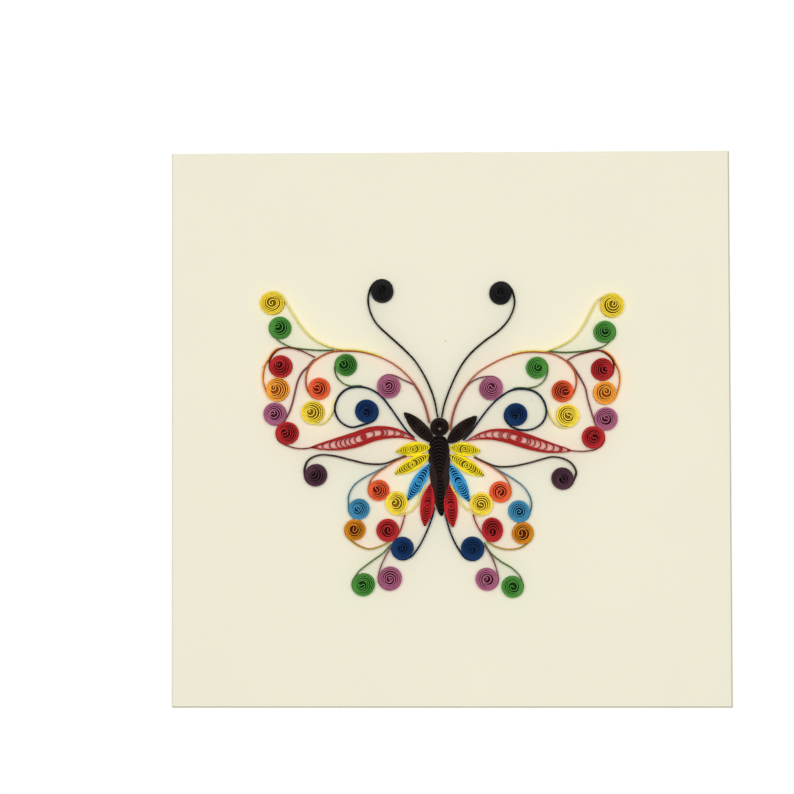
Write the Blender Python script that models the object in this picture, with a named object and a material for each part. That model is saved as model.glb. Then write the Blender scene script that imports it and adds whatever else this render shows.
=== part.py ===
"""A quilled paper butterfly on a folded greeting card.

The card lies flat with its fold at the left. Each figure on it is one strip of paper that
stands on edge: scrolls with a coiled head and a long tail, and pinched coils for the leaves,
the body and the head. Lengths are in millimetres until a mesh is made. +Z is up, +Y is the
top of the picture, and the origin is under the middle of the card.
"""

import math
from collections import namedtuple

import bmesh
import bpy
from mathutils import Vector

METRES = 0.001

# The card: one sheet, folded once
CARD_WIDTH = 152.4
CARD_HEIGHT = 151.4
CARD_SHEET = 0.35
CARD_OPENING = 0.5
FOLD_FACETS = 8

# The quilling strips
STRIP_HEIGHT = 3.0
STRIP_THICKNESS = 0.3
GLUE_FILM = 0.1
STRIP_GAP = 0.1

# The coils
COIL_TURNS = 2.25
COIL_EYE = 0.6
COIL_TIGHTENING = 1.8
EYE_SHIFT = 0.75
EYE_SHIFT_LATE = 3.5

# The head, which the layout is measured from, and the body
HEAD_PLACE = Vector((-2.9, 0.5))
HEAD_RADIUS = 2.55
BODY_WIDTH = 4.9
BODY_TURNS = 2.25
HEAD_EDGE = HEAD_RADIUS + STRIP_GAP
BODY_SIDE = BODY_WIDTH / 2 + STRIP_GAP

# The leaves
LEAF_TURNS = 1.75
LONG_LEAF_TURNS = 2.25
LEAF_CORE = 0.35
LEAF_TIGHTENING = 1.9

# How far a straight facet may leave the curve that it stands for, and the shortest facet
FACET_SAG = 0.13
FACET_LENGTH = 0.45
CURVE_STEPS = 24
SHARP_CORNER = math.radians(50)

PAPERS = {
    "cream": (0.83, 0.81, 0.68),
    "black": (0.012, 0.010, 0.012),
    "dark_brown": (0.030, 0.014, 0.012),
    "yellow": (0.93, 0.70, 0.03),
    "green": (0.05, 0.29, 0.04),
    "crimson": (0.48, 0.015, 0.03),
    "red": (0.58, 0.03, 0.03),
    "orange": (0.93, 0.33, 0.02),
    "orange_red": (0.78, 0.10, 0.03),
    "mauve": (0.34, 0.09, 0.23),
    "navy": (0.012, 0.035, 0.15),
    "sky_blue": (0.05, 0.30, 0.58),
    "amber": (0.58, 0.22, 0.01),
    "aubergine": (0.055, 0.02, 0.045),
}
PAPER_ROUGHNESS = 0.8

ANTICLOCKWISE, CLOCKWISE = 1, -1
OUTSIDE, INSIDE = -1, 1

# A scroll runs from the free end of its tail, along the route, into its coil. lean is the bearing
# in degrees of the side where its turns lie tight, and beside names the strip, the side of it and
# the stretch that the tail is first glued along.
Scroll = namedtuple("Scroll", "name paper coil radius lean winding route beside", defaults=(None,))
Beside = namedtuple("Beside", "strip side start end")
# A leaf is a coil pinched at one or both ends of its spine, which starts at the tip. Each pinch
# runs from 0, round, to 1, sharp.
Leaf = namedtuple("Leaf", "name paper width tip_pinch root_pinch turns spine")

LEFT_FOREWING = [
    Scroll("left_forewing_arch", "orange_red", (-32.8, 10.6), 2.96, 195, ANTICLOCKWISE,
           [(-2.6, 1.1), (-3.2, 3.8), (-4.3, 7.1), (-6.3, 11.0), (-9.1, 14.4), (-12.6, 17.3),
            (-16.7, 19.3), (-21.3, 20.5), (-25.9, 20.8), (-29.8, 20.4), (-33.0, 18.9), (-35.5, 16.4),
            (-36.4, 13.4), (-36.1, 10.4)]),
    Scroll("left_crimson_scroll", "crimson", (-43.2, 16.7), 3.1, 135, ANTICLOCKWISE,
           [(-33.9, 19.1), (-37.4, 20.8), (-40.6, 21.7), (-43.4, 21.5), (-45.1, 20.3), (-46.2, 18.5)]),
    Scroll("left_navy_loop_scroll", "navy", (-19.9, 4.3), 3.18, 290, ANTICLOCKWISE,
           [(-6.9, -2.9), (-8.6, -1.4), (-10.8, 1.5), (-13.5, 5.5), (-15.9, 8.5), (-18.9, 10.4),
            (-22.2, 11.0), (-25.4, 10.3), (-27.7, 8.0), (-28.5, 4.7), (-27.1, 1.6), (-24.1, 0.0),
            (-21.4, 0.5)]),
    Scroll("left_antenna", "black", (-15.6, 37.0), 3.1, 90, CLOCKWISE,
           [(-0.5, HEAD_EDGE), (-1.5, 7.5), (-3.4, 12.5), (-6.4, 17.7), (-9.4, 20.9), (-14.2, 25.3),
            (-17.0, 28.1), (-18.7, 31.2), (-19.4, 34.6), (-18.8, 37.7)]),
    Scroll("left_yellow_tip_scroll", "yellow", (-45.5, 33.9), 3.29, 130, ANTICLOCKWISE,
           [(-29.5, 21.8), (-33.8, 23.8), (-37.4, 27.3), (-40.1, 31.3), (-41.7, 33.9)],
           Beside("left_forewing_arch", OUTSIDE, (-16.0, 19.2), (-25.9, 21.0))),
    Scroll("left_green_tip_scroll", "green", (-43.4, 27.1), 3.04, 175, CLOCKWISE,
           [(-28.8, 21.0), (-32.5, 21.0), (-35.2, 21.2), (-37.9, 21.5), (-40.6, 22.0), (-43.6, 23.5),
            (-45.0, 24.6)]),
    Scroll("left_orange_scroll", "orange", (-44.1, 10.4), 3.18, 190, ANTICLOCKWISE,
           [(-47.5, 17.1), (-48.0, 15.1), (-48.1, 12.9), (-47.7, 10.9)],
           Beside("left_crimson_scroll", OUTSIDE, (-43.9, 21.9), (-46.6, 18.9))),
    Scroll("left_mauve_edge_scroll", "mauve", (-44.8, 3.7), 3.15, 235, CLOCKWISE,
           [(-37.1, 15.4), (-38.5, 12.9), (-39.3, 9.9), (-40.0, 6.9), (-40.9, 4.2)],
           Beside("left_forewing_arch", OUTSIDE, (-33.8, 18.4), (-35.6, 16.6))),
    Scroll("left_red_edge_scroll", "crimson", (-41.5, -1.6), 3.1, 190, CLOCKWISE,
           [(-34.7, -5.4), (-37.4, -5.8), (-40.3, -5.4)]),
    Scroll("left_mauve_inner_scroll", "mauve", (-13.7, 11.1), 3.23, 95, ANTICLOCKWISE,
           [(-9.7, 12.8), (-11.6, 13.8)],
           Beside("left_forewing_arch", INSIDE, (-3.0, 1.1), (-7.6, 11.0))),
    Scroll("left_green_inner_scroll", "green", (-25.4, 16.9), 2.99, 185, CLOCKWISE,
           [(-26.1, 11.9), (-27.9, 13.7), (-28.5, 15.7)],
           Beside("left_navy_loop_scroll", OUTSIDE, (-21.2, 11.4), (-23.8, 11.2))),
    Scroll("left_yellow_inner_scroll", "yellow", (-34.4, 4.1), 3.15, 205, CLOCKWISE,
           [(-29.9, 2.7), (-31.8, 1.0)],
           Beside("left_navy_loop_scroll", OUTSIDE, (-28.2, 7.8), (-28.9, 5.1))),
]

LEFT_HINDWING = [
    Scroll("left_aubergine_scroll", "aubergine", (-33.7, -12.9), 3.04, 155, ANTICLOCKWISE,
           [(-9.2, -7.8), (-11.9, -8.8), (-15.1, -9.9), (-19.5, -9.9), (-24.4, -8.8), (-29.0, -7.7),
            (-33.1, -7.6), (-35.8, -9.0), (-36.8, -11.3)]),
    Scroll("left_sky_blue_scroll", "sky_blue", (-22.0, -22.2), 2.88, 220, ANTICLOCKWISE,
           [(-14.6, -10.6), (-17.3, -12.0), (-20.9, -13.9), (-23.4, -15.9), (-24.8, -18.6),
            (-24.9, -21.1)]),
    Scroll("left_orange_red_hind_scroll", "orange_red", (-16.6, -17.1), 2.88, 170, ANTICLOCKWISE,
           [(-8.9, -8.3), (-11.9, -9.5), (-14.6, -11.1), (-17.0, -12.5), (-18.7, -14.3)]),
    Scroll("left_yellow_hind_scroll", "yellow", (-11.7, -20.6), 3.07, 215, CLOCKWISE,
           [(-4.0, -15.4), (-5.1, -17.9), (-6.2, -20.9), (-8.4, -23.1), (-10.6, -23.8)]),
    Scroll("left_red_hind_scroll", "crimson", (-14.2, -28.0), 3.07, 270, CLOCKWISE,
           [(-9.5, -23.9), (-10.3, -26.8), (-11.1, -28.8)]),
    Scroll("left_amber_hind_scroll", "amber", (-23.1, -27.9), 2.88, 190, CLOCKWISE,
           [(-13.7, -31.2), (-16.3, -32.4), (-19.3, -33.1), (-22.2, -32.1), (-24.4, -30.6)]),
    Scroll("left_navy_hind_scroll", "navy", (-10.2, -32.9), 3.12, 190, CLOCKWISE,
           [(-1.45, -21.8), (-1.9, -23.9), (-3.4, -27.9), (-5.3, -31.8), (-7.5, -34.9)]),
    Scroll("left_green_tail_scroll", "green", (-20.8, -42.7), 3.1, 190, ANTICLOCKWISE,
           [(-13.4, -31.9), (-15.5, -34.2), (-18.7, -36.5), (-21.9, -39.0)]),
    Scroll("left_mauve_tail_scroll", "mauve", (-13.6, -41.1), 3.26, 260, ANTICLOCKWISE,
           [(-13.9, -33.4), (-15.3, -36.0), (-16.3, -38.4)]),
]

RIGHT_FOREWING = [
    Scroll("right_forewing_arch", "orange_red", (33.4, 9.7), 2.96, 0, CLOCKWISE,
           [(2.8, -0.8), (3.2, 2.2), (4.4, 6.2), (6.8, 10.7), (10.2, 14.5), (14.2, 17.1), (18.6, 19.1),
            (22.9, 20.2), (27.3, 20.3), (31.1, 19.7), (34.3, 17.9), (36.6, 15.1), (37.2, 12.1),
            (36.6, 9.5)]),
    Scroll("right_crimson_scroll", "crimson", (44.2, 15.6), 3.1, 340, CLOCKWISE,
           [(34.8, 18.1), (37.0, 19.3), (40.3, 20.2), (43.5, 20.6), (45.9, 19.4), (47.3, 17.5)]),
    Scroll("right_navy_loop_scroll", "navy", (20.7, 3.2), 3.1, 225, CLOCKWISE,
           [(6.4, -3.6), (8.5, -1.4), (10.9, 1.9), (13.7, 5.5), (16.4, 8.0), (19.6, 9.9), (23.2, 10.2),
            (26.4, 9.2), (28.4, 6.8), (29.0, 3.8), (27.9, 1.1), (25.3, -0.6), (22.0, -0.9),
            (19.6, 0.0)]),
    Scroll("right_antenna", "black", (16.7, 36.3), 3.07, 90, ANTICLOCKWISE,
           [(0.6, HEAD_EDGE), (1.3, 6.1), (3.0, 10.8), (5.7, 16.3), (8.6, 20.1), (12.1, 23.2),
            (16.2, 26.2), (19.0, 29.4), (20.5, 33.6), (19.9, 37.0)]),
    Scroll("right_yellow_tip_scroll", "yellow", (46.9, 32.9), 3.29, 45, CLOCKWISE,
           [(32.1, 21.6), (36.1, 23.8), (38.9, 27.0), (41.0, 30.8), (43.0, 34.2)],
           Beside("right_forewing_arch", OUTSIDE, (19.9, 20.0), (28.6, 20.5))),
    Scroll("right_green_tip_scroll", "green", (44.9, 25.7), 2.96, 0, ANTICLOCKWISE,
           [(30.0, 20.5), (34.0, 20.2), (38.1, 20.4), (41.4, 20.9), (44.6, 21.8), (47.0, 23.7)]),
    Scroll("right_orange_scroll", "orange", (44.9, 9.2), 3.15, 330, CLOCKWISE,
           [(48.7, 15.2), (49.0, 12.6), (48.5, 9.9)],
           Beside("right_crimson_scroll", OUTSIDE, (44.3, 20.8), (47.6, 17.5))),
    Scroll("right_mauve_edge_scroll", "mauve", (45.1, 2.1), 3.15, 300, ANTICLOCKWISE,
           [(38.1, 13.4), (39.6, 10.5), (40.3, 7.2), (41.3, 3.8)],
           Beside("right_forewing_arch", OUTSIDE, (34.8, 17.6), (36.3, 15.8))),
    Scroll("right_red_edge_scroll", "crimson", (41.7, -3.0), 3.1, 315, ANTICLOCKWISE,
           [(35.5, -6.5), (38.8, -6.7), (42.0, -6.3)]),
    Scroll("right_mauve_inner_scroll", "mauve", (13.9, 10.5), 3.26, 50, CLOCKWISE,
           [(9.3, 12.6), (11.5, 13.5)],
           Beside("right_forewing_arch", INSIDE, (3.3, -0.8), (7.6, 11.1))),
    Scroll("right_green_inner_scroll", "green", (26.5, 16.0), 2.96, 0, ANTICLOCKWISE,
           [(26.4, 11.0), (28.4, 12.5), (29.4, 14.8)],
           Beside("right_navy_loop_scroll", OUTSIDE, (20.0, 10.4), (23.7, 10.4))),
    Scroll("right_yellow_inner_scroll", "yellow", (34.7, 3.0), 3.07, 330, ANTICLOCKWISE,
           [(29.5, 4.5), (30.2, 2.4), (31.8, 0.4), (33.9, -0.3)]),
]

RIGHT_HINDWING = [
    Scroll("right_aubergine_scroll", "aubergine", (33.3, -14.0), 2.99, 315, CLOCKWISE,
           [(9.4, -8.1), (12.2, -9.5), (15.5, -10.7), (19.6, -10.7), (23.9, -9.9), (27.9, -8.8),
            (30.4, -8.2), (33.4, -8.6), (35.8, -10.0), (37.0, -12.4)]),
    Scroll("right_sky_blue_scroll", "sky_blue", (21.5, -22.9), 2.96, 300, CLOCKWISE,
           [(14.5, -11.0), (16.6, -12.1), (19.8, -14.0), (22.6, -16.1), (24.4, -18.8), (24.9, -21.3)]),
    Scroll("right_orange_red_hind_scroll", "orange_red", (16.4, -17.6), 2.96, 330, CLOCKWISE,
           [(9.5, -8.6), (12.8, -10.4), (15.8, -12.1), (17.9, -13.9), (19.1, -16.0)]),
    Scroll("right_yellow_hind_scroll", "yellow", (11.2, -20.9), 3.07, 250, ANTICLOCKWISE,
           [(3.1, -16.0), (4.6, -18.5), (6.2, -21.2), (8.4, -23.0), (10.3, -24.1)]),
    Scroll("right_red_hind_scroll", "crimson", (14.2, -27.9), 3.07, 270, ANTICLOCKWISE,
           [(9.0, -23.8), (9.6, -25.8), (11.0, -28.4)]),
    Scroll("right_amber_hind_scroll", "amber", (22.4, -28.9), 2.96, 330, ANTICLOCKWISE,
           [(12.6, -31.0), (14.9, -32.4), (18.4, -33.3), (21.9, -32.8), (24.2, -31.2)]),
    Scroll("right_navy_hind_scroll", "navy", (8.8, -33.0), 3.23, 270, ANTICLOCKWISE,
           [(1.4, -23.7), (2.2, -26.8), (3.5, -30.3), (5.3, -33.6)]),
    Scroll("right_green_tail_scroll", "green", (19.6, -43.3), 2.99, 330, CLOCKWISE,
           [(12.0, -31.4), (13.8, -34.2), (16.5, -36.5), (19.7, -38.5), (21.7, -40.6)]),
    Scroll("right_mauve_tail_scroll", "mauve", (12.7, -41.3), 3.12, 330, CLOCKWISE,
           [(12.7, -33.3), (14.2, -35.6), (15.2, -38.2)]),
]

LEAVES = [
    Leaf("left_dark_leaf", "dark_brown", 3.5, 1.0, 0.4, LEAF_TURNS,
         [(-9.4, 3.7), (0.45 - BODY_SIDE, -4.1)]),
    Leaf("left_long_red_leaf", "red", 4.3, 1.0, 1.0, LONG_LEAF_TURNS,
         [(-34.4, -5.4), (-29.5, -4.9), (-23.0, -3.5), (-18.4, -1.9), (-14.0, -1.5), (-10.0, -2.1),
          (-6.5, -3.7)]),
    Leaf("left_upper_yellow_leaf", "yellow", 3.7, 1.0, 0.7, LEAF_TURNS,
         [(-11.9, -6.7), (-BODY_SIDE, -5.4)]),
    Leaf("left_lower_yellow_leaf", "yellow", 3.4, 1.0, 0.8, LEAF_TURNS,
         [(-12.2, -12.7), (-BODY_SIDE - 0.3, -7.5)]),
    Leaf("left_blue_leaf", "sky_blue", 3.3, 1.0, 1.0, LEAF_TURNS,
         [(-8.7, -19.8), (-BODY_SIDE - 0.15, -9.8)]),
    Leaf("left_red_leaf", "red", 3.5, 1.0, 1.0, LEAF_TURNS, [(-4.1, -26.7), (0.15 - BODY_SIDE, -15.4)]),
    Leaf("right_dark_leaf", "dark_brown", 3.7, 1.0, 0.4, LEAF_TURNS, [(9.9, 2.7), (BODY_SIDE, -4.2)]),
    Leaf("right_long_red_leaf", "red", 4.1, 1.0, 1.0, LONG_LEAF_TURNS,
         [(35.4, -6.5), (29.6, -5.6), (23.1, -3.8), (18.8, -2.5), (14.4, -2.0), (10.6, -2.6),
          (7.3, -3.7)]),
    Leaf("right_upper_yellow_leaf", "yellow", 3.6, 1.0, 0.7, LEAF_TURNS,
         [(11.1, -6.6), (BODY_SIDE + 0.2, -5.4)]),
    Leaf("right_lower_yellow_leaf", "yellow", 3.5, 1.0, 0.8, LEAF_TURNS,
         [(12.0, -13.3), (BODY_SIDE + 0.3, -7.5)]),
    Leaf("right_blue_leaf", "sky_blue", 3.5, 1.0, 1.0, LEAF_TURNS,
         [(7.7, -20.1), (BODY_SIDE + 0.05, -9.9)]),
    Leaf("right_red_leaf", "red", 3.6, 1.0, 1.0, LEAF_TURNS, [(3.4, -27.2), (BODY_SIDE + 0.1, -15.6)]),
    Leaf("body_teardrop", "dark_brown", BODY_WIDTH, 1.0, 0.0, BODY_TURNS,
         [(0.4, -24.1), (0.1, -HEAD_EDGE)]),
    Leaf("head_coil", "dark_brown", 2 * HEAD_RADIUS, 0.0, 0.0, BODY_TURNS,
         [(-HEAD_RADIUS, 0.0), (HEAD_RADIUS, 0.0)]),
]


def clear_scene():
    """Remove whatever the file held before."""
    for old in list(bpy.data.objects):
        bpy.data.objects.remove(old, do_unlink=True)


def paper(name):
    """One matt paper for all strips of a colour."""
    if name in bpy.data.materials:
        return bpy.data.materials[name]
    material = bpy.data.materials.new(name)
    material.use_nodes = True
    shader = material.node_tree.nodes["Principled BSDF"]
    shader.inputs["Base Color"].default_value = (*PAPERS[name], 1.0)
    shader.inputs["Roughness"].default_value = PAPER_ROUGHNESS
    shader.inputs["Metallic"].default_value = 0.0
    material.diffuse_color = (*PAPERS[name], 1.0)
    return material


def sheet(name, line, rise, thickness, colour):
    """A sheet of paper: a line of points carried along rise, then given its thickness both ways."""
    mesh = bpy.data.meshes.new(name)
    form = bmesh.new()
    corners = [form.verts.new(point * METRES) for point in line]
    edges = [form.edges.new(pair) for pair in zip(corners, corners[1:])]
    carried = bmesh.ops.extrude_edge_only(form, edges=edges)["geom"]
    moved = [part for part in carried if isinstance(part, bmesh.types.BMVert)]
    bmesh.ops.translate(form, verts=moved, vec=rise * METRES)
    bmesh.ops.recalc_face_normals(form, faces=form.faces)
    form.to_mesh(mesh)
    form.free()
    mesh.materials.append(paper(colour))
    piece = bpy.data.objects.new(name, mesh)
    bpy.context.collection.objects.link(piece)
    solidify = piece.modifiers.new("paper_thickness", "SOLIDIFY")
    solidify.thickness = thickness * METRES
    solidify.offset = 0.0
    solidify.use_even_offset = True
    return piece


def folded_card():
    """The back leaf, the rounded fold at the left and the front leaf, as one sheet lying flat."""
    bend = (CARD_SHEET + CARD_OPENING) / 2
    open_edge = CARD_WIDTH / 2
    fold_centre = Vector((-CARD_WIDTH / 2 + bend + CARD_SHEET / 2, -CARD_HEIGHT / 2, CARD_SHEET / 2 + bend))
    line = [Vector((open_edge, fold_centre.y, fold_centre.z - bend))]
    for step in range(FOLD_FACETS + 1):
        angle = math.pi * step / FOLD_FACETS
        line.append(fold_centre + Vector((-math.sin(angle), 0.0, -math.cos(angle))) * bend)
    line.append(Vector((open_edge, fold_centre.y, fold_centre.z + bend)))
    return sheet("folded_card", line, Vector((0.0, CARD_HEIGHT, 0.0)), CARD_SHEET, "cream")


def strip_on_edge(name, path, colour):
    """One quilling strip: its path on the card, raised by the height of the strip."""
    seat = 2 * CARD_SHEET + CARD_OPENING + GLUE_FILM
    line = [Vector((*(HEAD_PLACE + point), seat)) for point in path]
    return sheet(name, line, Vector((0.0, 0.0, STRIP_HEIGHT)), STRIP_THICKNESS, colour)


def bearing(angle):
    """The unit vector at an angle in radians."""
    return Vector((math.cos(angle), math.sin(angle)))


def square_to(direction):
    """The unit vector to the left of a direction."""
    return Vector((-direction.y, direction.x)).normalized()


def smooth_curve(points, before, after):
    """A curve through the points. The points beyond its ends only set its direction there."""
    run = [before, *points, after]
    times = [0.0]
    for a, b in zip(run, run[1:]):
        times.append(times[-1] + math.sqrt((b - a).length))
    curve = [points[0]]
    for i in range(1, len(run) - 2):
        p0, p1, p2, p3 = run[i - 1:i + 3]
        t0, t1, t2, t3 = times[i - 1:i + 3]
        span = t2 - t1
        leave = ((p1 - p0) / (t1 - t0) - (p2 - p0) / (t2 - t0) + (p2 - p1) / span) * span
        arrive = ((p2 - p1) / span - (p3 - p1) / (t3 - t1) + (p3 - p2) / (t3 - t2)) * span
        for step in range(1, CURVE_STEPS + 1):
            s = step / CURVE_STEPS
            curve.append((2 * s**3 - 3 * s**2 + 1) * p1 + (s**3 - 2 * s**2 + s) * leave
                         + (3 * s**2 - 2 * s**3) * p2 + (s**3 - s**2) * arrive)
    return curve


def bulge(points):
    """How far the points leave the straight line from the first to the last."""
    chord = points[-1] - points[0]
    if chord.length == 0.0:
        return max((point - points[0]).length for point in points)
    side = square_to(chord)
    return max(abs((point - points[0]).dot(side)) for point in points)


def facets(curve):
    """As few of the curve's points as keep the straight facets between them close to it."""
    kept = [curve[0]]
    start = 0
    for end in range(2, len(curve)):
        strays = bulge(curve[start:end + 1]) > FACET_SAG
        if strays and (curve[end - 1] - curve[start]).length > FACET_LENGTH:
            start = end - 1
            kept.append(curve[start])
    if len(kept) > 1 and (curve[-1] - kept[-1]).length < FACET_LENGTH:
        kept.pop()
    return [*kept, curve[-1]]


def nearest_place(line, target):
    """Where the line comes nearest to the target: the count of points before it, and the place."""
    best = None
    for i, (a, b) in enumerate(zip(line, line[1:])):
        along = max(0.0, min(1.0, (target - a).dot(b - a) / (b - a).length_squared))
        place = a.lerp(b, along)
        if best is None or (place - target).length < (best[1] - target).length:
            best = (i + 1, place)
    return best


def glued_run(host, side, start, end):
    """A run that lies flat against one side of the host strip, from near start to near end."""
    spacing = side * (STRIP_THICKNESS + STRIP_GAP)
    sides = [square_to(b - a) for a, b in zip(host, host[1:])]
    sides = [sides[0], *sides, sides[-1]]
    line = []
    for point, before, after in zip(host, sides, sides[1:]):
        mean = (before + after).normalized()
        line.append(point + mean * spacing / mean.dot(before))
    first, opening = nearest_place(line, Vector(start))
    last, closing = nearest_place(line, Vector(end))
    run = [opening, *line[first:last], closing]
    if (run[1] - run[0]).length < FACET_LENGTH:
        run.pop(0)
    if (run[-1] - run[-2]).length < FACET_LENGTH:
        run.pop()
    return run


def coil_turns(centre, radius, lean, winding, entry):
    """The turns of a coil, from the bearing where its tail comes in. Its eye shifts towards lean."""
    turns = []
    count = int(COIL_TURNS * CURVE_STEPS)
    for step in range(count + 1):
        done = step / count
        reach = radius + (COIL_EYE - radius) * done**COIL_TIGHTENING
        angle = entry + winding * 2 * math.pi * COIL_TURNS * done
        turns.append(centre + bearing(lean) * EYE_SHIFT * done**EYE_SHIFT_LATE + bearing(angle) * reach)
    return turns


def scroll_path(scroll, tails):
    """The path of a scroll as facets. Its tail is kept in tails for the strips glued along it."""
    centre = Vector(scroll.coil)
    radius = scroll.radius - STRIP_THICKNESS / 2
    route = [Vector(point) for point in scroll.route]
    before = 2 * route[0] - route[1]
    root = []
    if scroll.beside:
        strip, side, start, end = scroll.beside
        winding, host = tails[strip]
        *root, before, begin = glued_run(host, side * winding, start, end)
        root.append(before)
        route.insert(0, begin)
    last = route[-1] - centre
    entry = math.atan2(last.y, last.x) + scroll.winding * math.acos(min(1.0, radius / last.length))
    coil = coil_turns(centre, radius, math.radians(scroll.lean), scroll.winding, entry)
    tail = smooth_curve([*route, coil[0]], before, coil[1])
    tails[scroll.name] = (scroll.winding, facets(tail))
    return root + facets(tail + coil[1:])


def spine_places(spine):
    """The spine as a curve, with the length reached at each of its points."""
    points = [Vector(point) for point in spine]
    if len(points) == 2:
        curve = points
    else:
        curve = smooth_curve(points, 2 * points[0] - points[1], 2 * points[-1] - points[-2])
    lengths = [0.0]
    for a, b in zip(curve, curve[1:]):
        lengths.append(lengths[-1] + (b - a).length)
    return curve, lengths


def on_spine(curve, lengths, share):
    """The place and the direction at a share of the spine's length."""
    reach = share * lengths[-1]
    i = next(i for i in range(1, len(curve)) if lengths[i] >= reach or i == len(curve) - 1)
    along = (reach - lengths[i - 1]) / (lengths[i] - lengths[i - 1])
    return curve[i - 1].lerp(curve[i], along), curve[i] - curve[i - 1]


def leaf_path(leaf):
    """The path of a pinched coil: turns that keep the leaf's outline and shrink towards its middle."""
    curve, lengths = spine_places(leaf.spine)
    inset = STRIP_THICKNESS / 2
    slimness = lengths[-1] / (2 * leaf.width)
    first = inset * math.hypot(1.0, leaf.tip_pinch * slimness) / lengths[-1]
    last = 1.0 - inset * math.hypot(1.0, leaf.root_pinch * slimness) / lengths[-1]

    def flank(angle):
        """The outline's distance from the spine: 0 at both ends, round or pinched."""
        return (math.sin(angle) * abs(math.sin(angle / 2)) ** leaf.tip_pinch
                * abs(math.cos(angle / 2)) ** leaf.root_pinch)

    widest = max(flank(math.pi * i / CURVE_STEPS) for i in range(CURVE_STEPS))
    half_width = (leaf.width / 2 - inset) / widest
    path = []
    count = round(2 * leaf.turns * CURVE_STEPS)
    side = []
    for step in range(count + 1):
        angle = math.pi * step / CURVE_STEPS
        size = 1 + (LEAF_CORE - 1) * (step / count) ** LEAF_TIGHTENING
        share = (first + last) / 2 - (last - first) / 2 * math.cos(angle) * size
        place, direction = on_spine(curve, lengths, share)
        side.append(place + square_to(direction) * flank(angle) * half_width * size)
        if len(side) > CURVE_STEPS or step == count:
            path.extend(facets(side)[:-1])
            side = side[-1:]
    return [*path, *side]


def set_shape(piece, depsgraph):
    """Apply the thickness and shade the round stretches smooth, with sharp edges and pinches."""
    solid = bpy.data.meshes.new_from_object(piece.evaluated_get(depsgraph))
    piece.modifiers.clear()
    piece.data = solid
    solid.name = piece.name
    solid.shade_smooth()
    solid.set_sharp_from_angle(angle=SHARP_CORNER)


def main():
    clear_scene()
    folded_card()
    tails = {}
    for scroll in LEFT_FOREWING + LEFT_HINDWING + RIGHT_FOREWING + RIGHT_HINDWING:
        strip_on_edge(scroll.name, scroll_path(scroll, tails), scroll.paper)
    for leaf in LEAVES:
        strip_on_edge(leaf.name, leaf_path(leaf), leaf.paper)
    depsgraph = bpy.context.evaluated_depsgraph_get()
    for piece in bpy.data.objects:
        set_shape(piece, depsgraph)


main()
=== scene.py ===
"""The finished look of the quilled paper butterfly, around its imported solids.

Every strip follows its solid's route, with all the turns of its coil, and takes the solid's place.
The card is one folded sheet with the tooth of uncoated board. Lengths are in millimetres until a
mesh is made, and layout places are measured from the head, as in the part.
"""

import math
import random
from collections import namedtuple

import bpy
from mathutils import Euler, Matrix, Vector, noise


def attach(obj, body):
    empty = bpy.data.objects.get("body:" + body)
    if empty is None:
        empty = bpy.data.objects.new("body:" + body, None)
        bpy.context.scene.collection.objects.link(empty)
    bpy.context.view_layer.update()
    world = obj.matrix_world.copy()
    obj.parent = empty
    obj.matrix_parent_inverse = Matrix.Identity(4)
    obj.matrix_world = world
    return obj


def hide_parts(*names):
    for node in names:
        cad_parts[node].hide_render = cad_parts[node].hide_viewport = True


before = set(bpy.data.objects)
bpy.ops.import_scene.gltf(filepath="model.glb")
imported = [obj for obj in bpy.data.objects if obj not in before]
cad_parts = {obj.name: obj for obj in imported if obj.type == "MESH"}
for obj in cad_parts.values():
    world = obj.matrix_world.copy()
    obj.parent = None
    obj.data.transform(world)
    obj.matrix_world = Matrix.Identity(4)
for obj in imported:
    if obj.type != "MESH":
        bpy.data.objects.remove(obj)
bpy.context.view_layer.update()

METRES = 0.001
BODY = "root"

# The card, as in the part
CARD_WIDTH = 152.4
CARD_HEIGHT = 151.4
CARD_SHEET = 0.35
CARD_OPENING = 0.5
CARD_FRONT = 2 * CARD_SHEET + CARD_OPENING
FOLD_FACETS = 32
# How far the back leaf shows at the right and at the bottom, and how far the front leaf's cut
# edges slope in. A face there is a cut edge, painted darker as painted shade along the card's
# border, where its normal rises less than CUT_SLOPE.
BACK_SLIP = 0.25
BACK_DROP = 0.15
SLANT_CUT = 0.3
CUT_SLOPE = 0.9
CARD_CREASE = 20

# The strips' height and the places round the head, as in the part
STRIP_TOP = 4.3
HEAD_PLACE = Vector((-2.9, 0.5))
HEAD_RADIUS = 2.55
BODY_SIDE = 2.55
HEAD_EDGE = 2.65

# How thick the paper looks in open tails, dark tails, the navy loops, coils and the ends of leaves.
# COIL_FILL is the share of one turn's room that its paper takes at most.
TAIL_PAPER = 0.31
DARK_TAIL_PAPER = 0.45
LOOP_PAPER = 0.48
COIL_PAPER = 0.25
COIL_FILL = 0.92
CROSSING_PAPER = 0.24
OPEN_CROSSING_PAPER = 0.31
EDGE_ROUNDING = 0.035
STRIP_CREASE = 50
# How deep the strips' feet stand in the card's glue, and how thick the sheet under a coil or leaf
# is, painted dark as shade, and pink with painted bounce light in the open leaves
FOOT_DEPTH = 0.02
SEAT_DEPTH = 0.25

# How far below a strip's top the painted shade in a gap is full, and the share of the colour kept
# there that is kept at the strip's foot and on the sheet under a coil, painted darker still
GAP_SHADE_DEPTH = 0.35
FOOT_SHARE = 0.6
SEAT_SHADE_SHARE = 0.5
# The painted gap shade takes the paper's weaker channels first: painted light that has gone from
# wall to wall and comes back richer in the paper's own colour
GAP_RICHNESS = 1.2

# How the hand work varies: the height and the slant of a strip, and the room between turns
RISE_WOBBLE = 0.07
RISE_WAVE = 5.0
LEAN_WOBBLE = 0.10
LEAN_WAVE = 9.0
GAP_SPREAD = 0.35
RIM_STEP = 0.4

# A coil's slack, the least shift of its eye, the turns in which it comes to its eye, and the eye's
# radius. The hook in the eye bends back by a share of half a turn.
ROLL_SLACK = 0.12
LEAN_SHIFT = 0.6
EYE_TURNS = 1.6
EYE_RADII = (0.55, 0.95)
HOOK_SWEEPS = (0.2, 0.9)
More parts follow.
